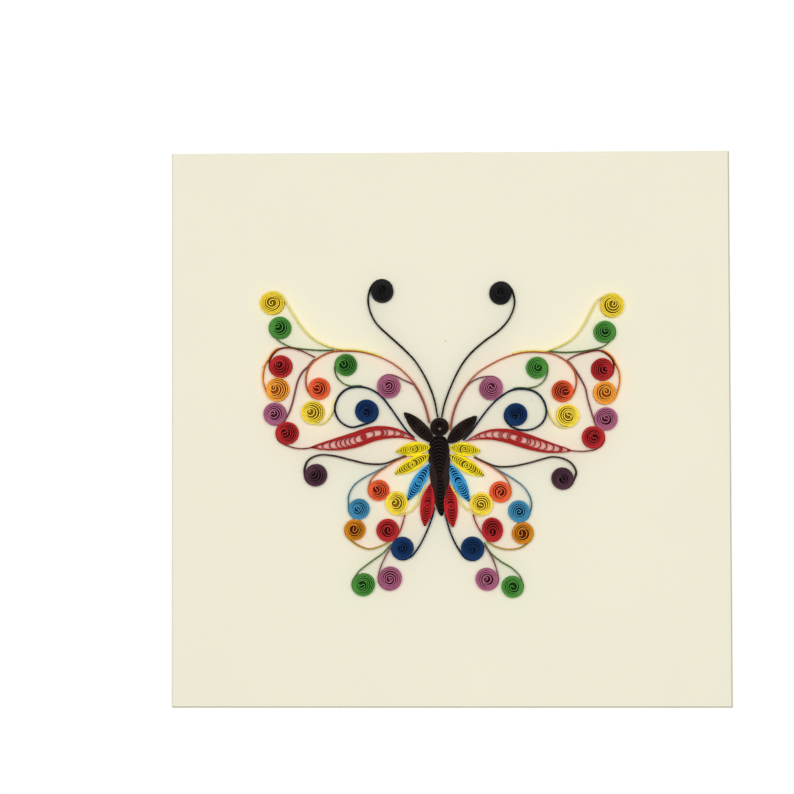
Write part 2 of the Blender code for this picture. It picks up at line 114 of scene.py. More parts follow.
# The curl in a leaf's eye, and how far a leaf's outer end laps back from its tip, in steps
CURL_TURNS = 1.75
CURL_END = 0.18
TIP_LAP = 5

# Steps between two points of a tail, in a turn of a coil, in a turn of a leaf and in half a hook
TAIL_STEPS = 12
COIL_STEPS = 36
LEAF_STEPS = 48
HOOK_STEPS = 8

# Flecks of pulp in the card, by place and size. A fleck's rings have a share of its height and size.
SPECKS = [((-48.4, 16.6), 0.20), ((1.7, 23.5), 0.16), ((25.1, 7.3), 0.14), ((-10.0, 9.8), 0.14)]
SPECK_RIM = 9
SPECK_HEIGHT = 0.06
SPECK_RINGS = ((0.7, 0.9), (1.0, 0.5))
SPECK_RAGGEDNESS = 0.3

# The drop of glue on the head, and how much its rim swells three times and twice round
DROP_PLACE = (0.05, -0.5)
DROP_RADIUS = 0.46
DROP_HEIGHT = 0.12
DROP_SWELLS = (0.12, 0.08)
DROP_RINGS = 5
DROP_RIM = 20

# The grain of the materials, in noise cells to a metre, and the depth of relief in millimetres
PAPER_MOTTLE = 900.0
PAPER_FIBRE = 1500.0
FIBRE_STRETCH = 7.0
PAPER_RELIEF = 0.02
BOARD_TOOTH = 1300.0
BOARD_FELT = 350.0
BOARD_CLOUD = 28.0
BOARD_RELIEF = 0.03
PULP_GRAIN = 6000.0
GLUE_HAZE = 2500.0

# The studio, in metres and watts. FLOOR_LIFT is the glow that the camera sees on the floor, and
# SKY_LIGHT the strength of the light from all round.
FLOOR_LIFT = 0.18
FLOOR_REACH = 12.0
FLOOR_LEVEL = -0.05 * METRES
FLOOR_PAINT = (0.86, 0.86, 0.86, 1.0)
SKY_LIGHT = 0.25
LAMP_POWER = 3.86
LAMP_SIZE = 0.36
LAMP_PLACES = ((-0.10, 0.03, 1.0), (0.10, 0.03, 1.0))

# The camera fitted to the photograph: place, lens and sensor in millimetres, turn in degrees, and
# the nearest and the farthest that it sees in metres
CAMERA_PLACE = Vector((-0.358, -8.975, 600.0))
CAMERA_TURN = (1.692, 1.359, -0.147)
CAMERA_LENS = 99.54
CAMERA_SENSOR = 36.0
CAMERA_CLIP = (0.01, 100.0)

ANTICLOCKWISE, CLOCKWISE = 1, -1
OUTSIDE, INSIDE = -1, 1

# A scroll runs from the free end of its tail, along the route, into its coil. lean is the bearing
# in degrees of the side where its turns lie tight, and eye is the middle of its innermost turn.
# beside names the strip, the side of it and the stretch that the tail is first glued along.
Scroll = namedtuple("Scroll", "name paper coil radius lean eye winding route beside", defaults=(None,))
Beside = namedtuple("Beside", "strip side start end")
# A leaf is a coil pinched at one or both ends of its spine, which starts at the tip. layer is the
# thickness that one turn takes at its sides, and spread is how unevenly its ends are spaced.
Leaf = namedtuple("Leaf", "name paper width tip_pinch root_pinch turns layer spread spine")

LEFT_FOREWING = [
    Scroll("left_forewing_arch", "orange_red", (-32.8, 10.6), 2.96, 195, (-33.3, 10.8), ANTICLOCKWISE,
           [(-2.6, 1.1), (-3.2, 3.8), (-4.3, 7.1), (-6.3, 11.0), (-9.1, 14.4), (-12.6, 17.3),
            (-16.7, 19.3), (-21.3, 20.5), (-25.9, 20.8), (-29.8, 20.4), (-33.0, 18.9), (-35.5, 16.4),
            (-36.4, 13.4), (-36.1, 10.4)]),
    Scroll("left_crimson_scroll", "crimson", (-43.2, 16.7), 3.1, 135, (-43.4, 17.3), ANTICLOCKWISE,
           [(-33.9, 19.1), (-37.4, 20.8), (-40.6, 21.7), (-43.4, 21.5), (-45.1, 20.3), (-46.2, 18.5)]),
    Scroll("left_navy_loop_scroll", "navy", (-19.9, 4.3), 3.18, 290, (-20.1, 4.0), ANTICLOCKWISE,
           [(-6.9, -2.9), (-8.6, -1.4), (-10.8, 1.5), (-13.5, 5.5), (-15.9, 8.5), (-18.9, 10.4),
            (-22.2, 11.0), (-25.4, 10.3), (-27.7, 8.0), (-28.5, 4.7), (-27.1, 1.6), (-24.1, 0.0),
            (-21.4, 0.5)]),
    Scroll("left_antenna", "black", (-15.6, 37.0), 3.1, 90, (-15.6, 37.3), CLOCKWISE,
           [(-0.5, HEAD_EDGE), (-1.5, 7.5), (-3.4, 12.5), (-6.4, 17.7), (-9.4, 20.9), (-14.2, 25.3),
            (-17.0, 28.1), (-18.7, 31.2), (-19.4, 34.6), (-18.8, 37.7)]),
    Scroll("left_yellow_tip_scroll", "yellow", (-45.5, 33.9), 3.29, 130, (-45.4, 34.0), ANTICLOCKWISE,
           [(-29.5, 21.8), (-33.8, 23.8), (-37.4, 27.3), (-40.1, 31.3), (-41.7, 33.9)],
           Beside("left_forewing_arch", OUTSIDE, (-16.0, 19.2), (-25.9, 21.0))),
    Scroll("left_green_tip_scroll", "green", (-43.4, 27.1), 3.04, 175, (-44.2, 27.3), CLOCKWISE,
           [(-28.8, 21.0), (-32.5, 21.0), (-35.2, 21.2), (-37.9, 21.5), (-40.6, 22.0), (-43.6, 23.5),
            (-45.0, 24.6)]),
    Scroll("left_orange_scroll", "orange", (-44.1, 10.4), 3.18, 190, (-45.2, 10.9), ANTICLOCKWISE,
           [(-47.5, 17.1), (-48.0, 15.1), (-48.1, 12.9), (-47.7, 10.9)],
           Beside("left_crimson_scroll", OUTSIDE, (-43.9, 21.9), (-46.6, 18.9))),
    Scroll("left_mauve_edge_scroll", "mauve", (-44.8, 3.7), 3.15, 235, (-45.3, 3.7), CLOCKWISE,
           [(-37.1, 15.4), (-38.5, 12.9), (-39.3, 9.9), (-40.0, 6.9), (-40.9, 4.2)],
           Beside("left_forewing_arch", OUTSIDE, (-33.8, 18.4), (-35.6, 16.6))),
    Scroll("left_red_edge_scroll", "crimson", (-41.5, -1.6), 3.1, 190, (-42.3, -1.4), CLOCKWISE,
           [(-33.6, -5.3), (-37.4, -5.8), (-40.3, -5.4)]),
    Scroll("left_mauve_inner_scroll", "mauve", (-13.7, 11.1), 3.23, 95, (-13.9, 11.4), ANTICLOCKWISE,
           [(-9.7, 12.8), (-11.6, 13.8)],
           Beside("left_forewing_arch", INSIDE, (-3.0, 1.1), (-7.6, 11.0))),
    Scroll("left_green_inner_scroll", "green", (-25.4, 16.9), 2.99, 185, (-26.4, 17.1), CLOCKWISE,
           [(-26.1, 11.9), (-27.9, 13.7), (-28.5, 15.7)],
           Beside("left_navy_loop_scroll", OUTSIDE, (-21.2, 11.4), (-23.8, 11.2))),
    Scroll("left_yellow_inner_scroll", "yellow", (-34.4, 4.1), 3.15, 205, (-35.4, 4.2), CLOCKWISE,
           [(-29.9, 2.7), (-31.8, 1.0)],
           Beside("left_navy_loop_scroll", OUTSIDE, (-28.2, 7.8), (-28.9, 5.1))),
]

LEFT_HINDWING = [
    Scroll("left_aubergine_scroll", "aubergine", (-33.7, -12.9), 3.04, 155, (-34.4, -12.4), ANTICLOCKWISE,
           [(-9.2, -7.8), (-11.9, -8.8), (-15.1, -9.9), (-19.5, -9.9), (-24.4, -8.8), (-29.0, -7.7),
            (-33.1, -7.6), (-35.8, -9.0), (-36.8, -11.3)]),
    Scroll("left_sky_blue_scroll", "sky_blue", (-22.0, -22.2), 2.88, 220, (-22.4, -22.2), ANTICLOCKWISE,
           [(-14.6, -10.6), (-17.3, -12.0), (-20.9, -13.9), (-23.4, -15.9), (-24.8, -18.6),
            (-24.9, -21.1)]),
    Scroll("left_orange_red_hind_scroll", "orange_red", (-16.6, -17.1), 2.88, 170, (-17.2, -16.8),
           ANTICLOCKWISE,
           [(-9.0, -8.05), (-11.9, -9.2), (-14.6, -10.9), (-17.0, -12.5), (-18.7, -14.3)]),
    Scroll("left_yellow_hind_scroll", "yellow", (-11.7, -20.6), 3.07, 215, (-12.3, -20.7), CLOCKWISE,
           [(-4.0, -15.4), (-5.1, -17.9), (-6.2, -20.9), (-8.4, -23.1), (-10.6, -23.8)]),
    Scroll("left_red_hind_scroll", "crimson", (-14.2, -28.0), 3.07, 270, (-14.1, -28.0), CLOCKWISE,
           [(-9.5, -23.9), (-10.3, -26.8), (-11.1, -28.8)]),
    Scroll("left_amber_hind_scroll", "amber", (-23.1, -27.9), 2.88, 190, (-23.5, -27.6), CLOCKWISE,
           [(-13.7, -31.2), (-16.3, -32.4), (-19.3, -33.1), (-22.2, -32.1), (-24.4, -30.6)]),
    Scroll("left_navy_hind_scroll", "navy", (-10.2, -32.9), 3.12, 190, (-10.7, -32.8), CLOCKWISE,
           [(-1.45, -21.8), (-1.9, -23.9), (-3.4, -27.9), (-5.3, -31.8), (-7.5, -34.9)]),
    Scroll("left_green_tail_scroll", "green", (-20.8, -42.7), 3.1, 190, (-21.2, -42.7), ANTICLOCKWISE,
           [(-13.4, -31.9), (-15.5, -34.2), (-18.7, -36.5), (-21.9, -39.0)]),
    Scroll("left_mauve_tail_scroll", "mauve", (-13.6, -41.1), 3.26, 260, (-13.7, -41.3), ANTICLOCKWISE,
           [(-13.4, -32.6), (-15.3, -36.0), (-16.3, -38.4)]),
]

RIGHT_FOREWING = [
    Scroll("right_forewing_arch", "orange_red", (33.4, 9.7), 2.96, 0, (34.3, 9.5), CLOCKWISE,
           [(2.8, -0.8), (3.2, 2.2), (4.4, 6.2), (6.8, 10.7), (10.2, 14.5), (14.2, 17.1), (18.6, 19.1),
            (22.9, 20.2), (27.3, 20.3), (31.1, 19.7), (34.3, 17.9), (36.6, 15.1), (37.2, 12.1),
            (36.6, 9.5)]),
    Scroll("right_crimson_scroll", "crimson", (44.2, 15.6), 3.1, 340, (45.0, 15.7), CLOCKWISE,
           [(34.8, 18.1), (37.0, 19.3), (40.3, 20.2), (43.5, 20.6), (45.9, 19.4), (47.3, 17.5)]),
    Scroll("right_navy_loop_scroll", "navy", (20.7, 3.2), 3.1, 225, (20.4, 2.5), CLOCKWISE,
           [(6.4, -3.6), (8.5, -1.4), (10.9, 1.9), (13.7, 5.5), (16.4, 8.0), (19.6, 9.9), (23.2, 10.2),
            (26.4, 9.2), (28.4, 6.8), (29.0, 3.8), (27.9, 1.1), (25.3, -0.6), (22.0, -0.9),
            (19.6, 0.0)]),
    Scroll("right_antenna", "black", (16.7, 36.3), 3.07, 90, (16.7, 36.6), ANTICLOCKWISE,
           [(0.6, HEAD_EDGE), (1.3, 6.1), (3.0, 10.8), (5.7, 16.3), (8.6, 20.1), (12.1, 23.2),
            (16.2, 26.2), (19.0, 29.4), (20.5, 33.6), (19.9, 37.0)]),
    Scroll("right_yellow_tip_scroll", "yellow", (46.9, 32.9), 3.29, 45, (47.1, 33.4), CLOCKWISE,
           [(32.1, 21.6), (36.1, 23.8), (38.9, 27.0), (41.0, 30.8), (43.0, 34.2)],
           Beside("right_forewing_arch", OUTSIDE, (19.9, 20.0), (28.6, 20.5))),
    Scroll("right_green_tip_scroll", "green", (44.9, 25.7), 2.96, 0, (45.2, 25.9), ANTICLOCKWISE,
           [(30.0, 20.5), (34.0, 20.2), (38.1, 20.4), (41.4, 20.9), (44.6, 21.8), (47.0, 23.7)]),
    Scroll("right_orange_scroll", "orange", (44.9, 9.2), 3.15, 330, (45.2, 9.6), CLOCKWISE,
           [(48.7, 15.2), (49.0, 12.6), (48.5, 9.9)],
           Beside("right_crimson_scroll", OUTSIDE, (44.3, 20.8), (47.6, 17.5))),
    Scroll("right_mauve_edge_scroll", "mauve", (45.1, 2.1), 3.15, 300, (45.0, 2.2), ANTICLOCKWISE,
           [(38.1, 13.4), (39.6, 10.5), (40.3, 7.2), (41.3, 3.8)],
           Beside("right_forewing_arch", OUTSIDE, (34.8, 17.6), (36.3, 15.8))),
    Scroll("right_red_edge_scroll", "crimson", (41.7, -3.0), 3.1, 315, (41.9, -3.1), ANTICLOCKWISE,
           [(34.6, -6.4), (38.8, -6.7), (42.0, -6.3)]),
    Scroll("right_mauve_inner_scroll", "mauve", (13.9, 10.5), 3.26, 50, (14.1, 10.9), CLOCKWISE,
           [(9.3, 12.6), (11.5, 13.5)],
           Beside("right_forewing_arch", INSIDE, (3.3, -0.8), (7.6, 11.1))),
    Scroll("right_green_inner_scroll", "green", (26.5, 16.0), 2.96, 0, (27.1, 16.1), ANTICLOCKWISE,
           [(26.4, 11.0), (28.4, 12.5), (29.4, 14.8)],
           Beside("right_navy_loop_scroll", OUTSIDE, (20.0, 10.4), (23.7, 10.4))),
    Scroll("right_yellow_inner_scroll", "yellow", (34.7, 3.0), 3.07, 330, (35.0, 3.1), ANTICLOCKWISE,
           [(29.5, 4.5), (30.2, 2.4), (31.8, 0.4), (33.9, -0.3)]),
]

RIGHT_HINDWING = [
    Scroll("right_aubergine_scroll", "aubergine", (33.3, -14.0), 2.99, 315, (33.3, -14.3), CLOCKWISE,
           [(9.4, -8.1), (12.2, -9.5), (15.5, -10.7), (19.6, -10.7), (23.9, -9.9), (27.9, -8.8),
            (30.4, -8.2), (33.4, -8.6), (35.8, -10.0), (37.0, -12.4)]),
    Scroll("right_sky_blue_scroll", "sky_blue", (21.5, -22.9), 2.96, 300, (21.5, -23.2), CLOCKWISE,
           [(14.5, -11.0), (16.6, -12.1), (19.8, -14.0), (22.6, -16.1), (24.4, -18.8), (24.9, -21.3)]),
    Scroll("right_orange_red_hind_scroll", "orange_red", (16.4, -17.6), 2.96, 330, (16.4, -17.9), CLOCKWISE,
           [(9.3, -8.4), (12.6, -10.0), (15.8, -12.0), (17.9, -13.9), (19.1, -16.0)]),
    Scroll("right_yellow_hind_scroll", "yellow", (11.2, -20.9), 3.07, 250, (11.0, -21.2), ANTICLOCKWISE,
           [(3.1, -16.0), (4.6, -18.5), (6.2, -21.2), (8.4, -23.0), (10.3, -24.1)]),
    Scroll("right_red_hind_scroll", "crimson", (14.2, -27.9), 3.07, 270, (14.2, -28.5), ANTICLOCKWISE,
           [(9.0, -23.8), (9.6, -25.8), (11.0, -28.4)]),
    Scroll("right_amber_hind_scroll", "amber", (22.4, -28.9), 2.96, 330, (22.2, -28.8), ANTICLOCKWISE,
           [(12.6, -31.0), (14.9, -32.4), (18.4, -33.3), (21.9, -32.8), (24.2, -31.2)]),
    Scroll("right_navy_hind_scroll", "navy", (8.8, -33.0), 3.23, 270, (8.9, -33.3), ANTICLOCKWISE,
           [(1.4, -23.7), (2.2, -26.8), (3.5, -30.3), (5.3, -33.6)]),
    Scroll("right_green_tail_scroll", "green", (19.6, -43.3), 2.99, 330, (19.8, -43.3), CLOCKWISE,
           [(12.0, -31.4), (13.8, -34.2), (16.5, -36.5), (19.7, -38.5), (21.7, -40.6)]),
    Scroll("right_mauve_tail_scroll", "mauve", (12.7, -41.3), 3.12, 330, (12.5, -41.4), CLOCKWISE,
           [(12.2, -32.2), (14.2, -35.6), (15.2, -38.2)]),
]

LEAVES = [
    Leaf("left_dark_leaf", "dark_brown", 3.9, 0.55, 0.3, 7, 0.15, 0.3,
         [(-9.7, 4.0), (-1.6, -4.2)]),
    Leaf("left_long_red_leaf", "red", 4.4, 0.8, 1.0, 10, 0.135, 0.8,
         [(-35.4, -5.5), (-29.5, -4.9), (-23.0, -3.5), (-18.4, -1.9), (-14.0, -1.5), (-10.0, -2.1),
          (-6.0, -3.9)]),
    Leaf("left_upper_yellow_leaf", "yellow", 3.9, 0.8, 0.7, 7, 0.12, 0.2,
         [(-12.0, -6.7), (-BODY_SIDE + 0.1, -5.4)]),
    Leaf("left_lower_yellow_leaf", "yellow", 3.7, 0.8, 0.8, 7, 0.12, 0.2,
         [(-12.3, -12.8), (-BODY_SIDE, -7.4)]),
    Leaf("left_blue_leaf", "sky_blue", 3.6, 0.8, 0.9, 7, 0.12, 0.2,
         [(-8.8, -20.0), (-BODY_SIDE, -9.7)]),
    Leaf("left_red_leaf", "red", 3.9, 0.8, 0.9, 8, 0.12, 0.2,
         [(-4.2, -27.0), (-BODY_SIDE, -15.2)]),
    Leaf("right_dark_leaf", "dark_brown", 4.1, 0.55, 0.3, 7, 0.15, 0.3,
         [(10.2, 3.0), (2.1, -4.3)]),
    Leaf("right_long_red_leaf", "red", 4.2, 0.8, 1.0, 10, 0.13, 0.8,
         [(36.2, -6.6), (29.6, -5.6), (23.1, -3.8), (18.8, -2.5), (14.4, -2.0), (10.6, -2.6),
          (6.8, -3.9)]),
    Leaf("right_upper_yellow_leaf", "yellow", 3.8, 0.8, 0.7, 6, 0.12, 0.2,
         [(11.2, -6.6), (BODY_SIDE, -5.4)]),
    Leaf("right_lower_yellow_leaf", "yellow", 3.8, 0.8, 0.8, 7, 0.12, 0.2,
         [(12.1, -13.4), (BODY_SIDE, -7.4)]),
    Leaf("right_blue_leaf", "sky_blue", 3.7, 0.8, 0.9, 7, 0.12, 0.2,
         [(8.0, -20.3), (BODY_SIDE, -9.7)]),
    Leaf("right_red_leaf", "red", 3.9, 0.8, 0.9, 8, 0.12, 0.2,
         [(3.5, -27.4), (BODY_SIDE, -15.4)]),
    Leaf("body_teardrop", "dark_brown", 6.1, 0.2, -0.5, 10, 0.19, 0.15,
         [(0.4, -24.2), (-0.3, -HEAD_EDGE + 0.3)]),
]

HEAD = Scroll("head_coil", "dark_brown", (0.0, 0.0), HEAD_RADIUS, 90, (0.0, 0.15), CLOCKWISE, [])
HEAD_SEAM = math.radians(250)
# The cells of these leaves are wide enough for light to reach the card: they get no painted gap
# shade, and the card in them is painted pink with the red walls' bounce light
OPEN_LEAVES = ("left_long_red_leaf", "right_long_red_leaf")
# Tails that the light reaches along, which get only this share of the painted shade on open tails
LIT_TAILS = {
    "left_red_hind_scroll": 0.35, "right_red_hind_scroll": 0.35,
    "left_yellow_hind_scroll": 0.5, "right_yellow_hind_scroll": 0.5,
}
# Coils that aren't quite round: the bearing of the longer way across, and how much longer it is
OVALS = {
    "right_red_hind_scroll": (100, 1.07),
    "left_yellow_hind_scroll": (95, 1.03),
    "left_yellow_tip_scroll": (10, 1.04),
    "right_amber_hind_scroll": (60, 1.03),
    "left_orange_scroll": (80, 1.02),
}
# Papers and loops whose open tails look thicker
DARK_PAPERS = ("black", "navy", "aubergine")
DOUBLED = ("left_navy_loop_scroll", "right_navy_loop_scroll")


def bearing(angle):
    """The unit vector at an angle in radians."""
    return Vector((math.cos(angle), math.sin(angle)))


def square_to(direction):
    """The unit vector to the left of a direction."""
    return Vector((-direction.y, direction.x)).normalized()


def smooth_step(value):
    """An even rise from 0 to 1."""
    value = max(0.0, min(1.0, value))
    return value * value * (3 - 2 * value)


def smooth_curve(points, before, after):
    """A curve through the points. The points beyond its ends only set its direction there."""
    run = [before, *points, after]
    times = [0.0]
    for a, b in zip(run, run[1:]):
        times.append(times[-1] + math.sqrt((b - a).length))
    curve = [points[0]]
    for i in range(1, len(run) - 2):
        p0, p1, p2, p3 = run[i - 1:i + 3]
        t0, t1, t2, t3 = times[i - 1:i + 3]
        span = t2 - t1
        leave = ((p1 - p0) / (t1 - t0) - (p2 - p0) / (t2 - t0) + (p2 - p1) / span) * span
        arrive = ((p2 - p1) / span - (p3 - p1) / (t3 - t1) + (p3 - p2) / (t3 - t2)) * span
        for step in range(1, TAIL_STEPS + 1):
            s = step / TAIL_STEPS
            curve.append((2 * s**3 - 3 * s**2 + 1) * p1 + (s**3 - 2 * s**2 + s) * leave
                         + (3 * s**2 - 2 * s**3) * p2 + (s**3 - s**2) * arrive)
    return curve


def nearest_place(line, target):
    """Where the line comes nearest to the target: the count of points before it, and the place."""
    best = None
    for i, (a, b) in enumerate(zip(line, line[1:])):
        along = max(0.0, min(1.0, (target - a).dot(b - a) / (b - a).length_squared))
        place = a.lerp(b, along)
        if best is None or (place - target).length < (best[1] - target).length:
            best = (i + 1, place)
    return best


def sides_of(path):
    """The unit vector to the left of a path at each of its points."""
    ahead = [*path[1:], path[-1]]
    behind = [path[0], *path[:-1]]
    return [square_to(b - a) for a, b in zip(behind, ahead)]


def glued_run(host, side, start, end):
    """A run that lies flat against one side of the host strip, from near start to near end."""
    spacing = side * TAIL_PAPER
    line = [point + across * spacing for point, across in zip(host, sides_of(host))]
    first, opening = nearest_place(line, Vector(start))
    last, closing = nearest_place(line, Vector(end))
    run = [opening, *line[first:last], closing]
    return [a for a, b in zip(run, run[1:]) if (b - a).length > EDGE_ROUNDING] + [closing]


def uneven_steps(count, spread, draw, rim=1.0):
    """Distances reached after each of a count of uneven steps, which come to 1 after count.

    The first step is rim times as long as an even one, and the steps grow from there.
    """
    whole_steps = math.ceil(count) + 1
    steps = [(rim + 2 * (1 - rim) * i / (whole_steps - 1)) * (1 + spread * draw.uniform(-1, 1))
             for i in range(whole_steps)]
    whole = sum(steps[:int(count)]) + (count - int(count)) * steps[int(count)]
    reached = [0.0]
    for step in steps:
        reached.append(reached[-1] + step / whole)
    return reached


def coil_path(scroll, entry):
    """The turns of a coil from the bearing where its tail joins, and the hook at its inner end.

    With them comes the thickness of the paper there.
    """
    draw = random.Random(scroll.name)
    turns = PAPERS[scroll.paper].turns
    centre = Vector(scroll.coil)
    lean = bearing(math.radians(scroll.lean))
    eye = Vector(scroll.eye) - centre
    shift = max(LEAN_SHIFT, eye.dot(lean))
    outer = scroll.radius + ROLL_SLACK - COIL_PAPER / 2
    reached = uneven_steps(turns, GAP_SPREAD, draw, RIM_STEP)
    depth = outer - draw.uniform(*EYE_RADII)
    sweep = draw.uniform(*HOOK_SWEEPS)
    points = []
    for step in range(round(turns * COIL_STEPS) + 1):
        turn = step / COIL_STEPS
        whole = int(turn)
        loose = (depth + shift) * (reached[whole] + (reached[whole + 1] - reached[whole]) * (turn - whole))
        tight = (depth - shift) * turn / turns
        homing = smooth_step((turn - turns + EYE_TURNS) / EYE_TURNS)
        middle = centre + lean * (loose - tight) / 2 + (eye - lean * shift) * homing
        angle = entry + scroll.winding * 2 * math.pi * turn
        points.append(middle + bearing(angle) * (outer - (loose + tight) / 2))
    points += eye_hook(points[-1], middle, scroll.winding, sweep)
    if scroll.name in OVALS:
        points = drawn_out(points, centre, *OVALS[scroll.name])
    return points, min(COIL_PAPER, COIL_FILL * (depth - shift) / turns)


def eye_hook(end, middle, winding, sweep):
    """The strip's inner end: half a turn from the coil to the middle of its eye, and a bend back."""
    inward = (middle - end) / 2
    hook = end + inward
    back = hook + 2 * inward
    points = []
    for pivot, way in ((hook, winding), (back, -winding * sweep)):
        for step in range(1, HOOK_STEPS + 1):
            points.append(pivot - turned(inward, way * math.pi * step / HOOK_STEPS))
    return points


def drawn_out(points, centre, side, stretch):
    """The points drawn out along a bearing in degrees, and pressed in across it."""
    longer = bearing(math.radians(side))
    drawn = []
    for point in points:
        along = (point - centre).dot(longer) * longer
        drawn.append(centre + along * stretch + (point - centre - along) / stretch)
    return drawn


def turned(vector, angle):
    """A vector turned anticlockwise by an angle in radians."""
    return Vector((vector.x * math.cos(angle) - vector.y * math.sin(angle),
                   vector.x * math.sin(angle) + vector.y * math.cos(angle)))


def scroll_path(scroll, tails):
    """The path of a scroll, its thickness and shelter at each point, and its sheet of painted shade."""
    centre = Vector(scroll.coil)
    radius = scroll.radius + ROLL_SLACK - COIL_PAPER / 2
    route = [Vector(point) for point in scroll.route]
    before = 2 * route[0] - route[1]
    root = []
    if scroll.beside:
        strip, side, start, end = scroll.beside
        winding, host = tails[strip]
        *root, before, begin = glued_run(host, side * winding, start, end)
        root.append(before)
        route.insert(0, begin)
    last = route[-1] - centre
    entry = math.atan2(last.y, last.x) + scroll.winding * math.acos(min(1.0, radius / last.length))
    coil, coil_paper = coil_path(scroll, entry)
    tail = smooth_curve([*route, coil[0]], before, coil[1])
    tails[scroll.name] = (scroll.winding, tail)
    path = root + tail + coil[1:]
    open_count = len(root) + len(tail)
    tail_paper = DARK_TAIL_PAPER if scroll.paper in DARK_PAPERS else TAIL_PAPER
    if scroll.name in DOUBLED:
        tail_paper = LOOP_PAPER
    papers = []
    for i in range(len(path)):
        share = smooth_step((i - open_count) / (COIL_STEPS / 2))
        papers.append(tail_paper + (coil_paper - tail_paper) * share)
    sheltered = shelter(len(path), open_count, COIL_STEPS, scroll.winding)
    painted_seat = coil[:COIL_STEPS][::scroll.winding]
    return path, papers, sheltered, painted_seat


# The mask of the painted shade in a coil's gaps, which also keeps the painted tail shade off the coil
def shelter(count, first, per_turn, winding):
    """How far inside a coil the left and the right wall stand at each point of a path.

    The inner wall is inside within a quarter of a turn, and the outer wall after a whole turn.
    """
    sheltered = []
    for i in range(count):
        inner = smooth_step((i - first) / (per_turn / 4))
        outer = smooth_step((i - first - per_turn) / (per_turn / 8))
        sheltered.append((inner, outer) if winding == ANTICLOCKWISE else (outer, inner))
    return sheltered


def spine_places(spine):
    """The spine as a curve, with the length reached at each of its points."""
    points = [Vector(point) for point in spine]
    if len(points) == 2:
        curve = points
    else:
        curve = smooth_curve(points, 2 * points[0] - points[1], 2 * points[-1] - points[-2])
    lengths = [0.0]
    for a, b in zip(curve, curve[1:]):
        lengths.append(lengths[-1] + (b - a).length)
    return curve, lengths


def on_spine(curve, lengths, reach):
    """The place and the direction at a length along the spine."""
    i = next(i for i in range(1, len(curve)) if lengths[i] >= reach or i == len(curve) - 1)
    along = (reach - lengths[i - 1]) / (lengths[i] - lengths[i - 1])
    return curve[i - 1].lerp(curve[i], along), curve[i] - curve[i - 1]


def leaf_path(leaf):
    """The path of a pinched coil, with its thickness and shelter at each point.

    Its turns lie on each other at its sides and apart at its ends, and the innermost curls up in
    its eye.
    """
    draw = random.Random(leaf.name)
    curve, lengths = spine_places(leaf.spine)
    whole = lengths[-1]
    inset = leaf.layer / 2
    slimness = whole / (2 * leaf.width)
    tip = inset * math.hypot(1.0, leaf.tip_pinch * slimness)
    root = whole - inset * math.hypot(1.0, leaf.root_pinch * slimness)

    def flank(reach):
        """The outline's distance from the spine: 0 at both ends, round or pinched."""
        angle = math.acos(max(-1.0, min(1.0, 1 - 2 * (reach - tip) / (root - tip))))
        return (math.sin(angle) * abs(math.sin(angle / 2)) ** leaf.tip_pinch
                * abs(math.cos(angle / 2)) ** leaf.root_pinch)

    widest = max(flank(whole * i / LEAF_STEPS) for i in range(LEAF_STEPS))
    half_width = (leaf.width / 2 - inset) / widest
    eye = half_width * widest - leaf.layer * leaf.turns
    middle = (tip + root) / 2
    at_tip = uneven_steps(leaf.turns, leaf.spread, draw)
    at_root = uneven_steps(leaf.turns, leaf.spread, draw)
    side_paper = leaf.layer * COIL_FILL
    crossing_paper = OPEN_CROSSING_PAPER if leaf.name in OPEN_LEAVES else CROSSING_PAPER
    path, papers = [], []
    for step in range(TIP_LAP, 0, -1):
        reach = tip + (root - tip) * (1 - math.cos(2 * math.pi * step / LEAF_STEPS)) / 2
        place, direction = on_spine(curve, lengths, reach)
        path.append(place - square_to(direction) * flank(reach) * half_width)
        papers.append(side_paper)
    for step in range(round(leaf.turns * LEAF_STEPS) + 1):
        turn = step / LEAF_STEPS
        count = int(turn)
        angle = 2 * math.pi * (turn - count)
        back = angle > math.pi
        tip_end = tip + (middle - eye - tip) * at_tip[count + back]
        root_end = root - (root - middle - eye) * at_root[count]
        reach = tip_end + (root_end - tip_end) * (1 - math.cos(angle)) / 2
        near_tip = math.cos(angle) > 0
        edge = reach - tip_end if near_tip else root_end - reach
        wall = flank(reach) * half_width - leaf.layer * turn
        outermost = count + back == 0 if near_tip else count == 0
        closeness = min(1.0, 1 - edge / max(wall, leaf.layer))
        cap = 1.0 if outermost else math.sqrt(1 - max(0.0, closeness) ** 2)
        side = -1 if back else 1
        place, direction = on_spine(curve, lengths, reach)
        path.append(place + square_to(direction) * side * max(wall, 0.0) * cap)
        crossing = 0.0 if outermost else smooth_step(closeness)
        papers.append(side_paper + (crossing_paper - side_paper) * crossing)
    centre, direction = on_spine(curve, lengths, middle)
    curl = leaf_curl(centre, direction.normalized(), eye)
    papers += [crossing_paper] * len(curl)
    path += curl
    return path, papers, shelter(len(path), TIP_LAP, LEAF_STEPS, CLOCKWISE)


def leaf_curl(centre, along, eye):
    """The loose turns in a leaf's eye, from its edge inwards."""
    steps = round(CURL_TURNS * COIL_STEPS)
    curl = []
    for step in range(1, steps + 1):
        angle = 2 * math.pi * step / COIL_STEPS
        reach = eye + (CURL_END - eye) * step / steps
        curl.append(centre + (square_to(along) * math.sin(angle) - along * math.cos(angle)) * reach)
    return curl


def srgb(red, green, blue):
    """A colour as screens write it, from 0 to 255, as the linear colour that a shader takes."""
    def linear(value):
        share = value / 255
        return share / 12.92 if share <= 0.04045 else ((share + 0.055) / 1.055) ** 2.4
    return (linear(red), linear(green), linear(blue), 1.0)
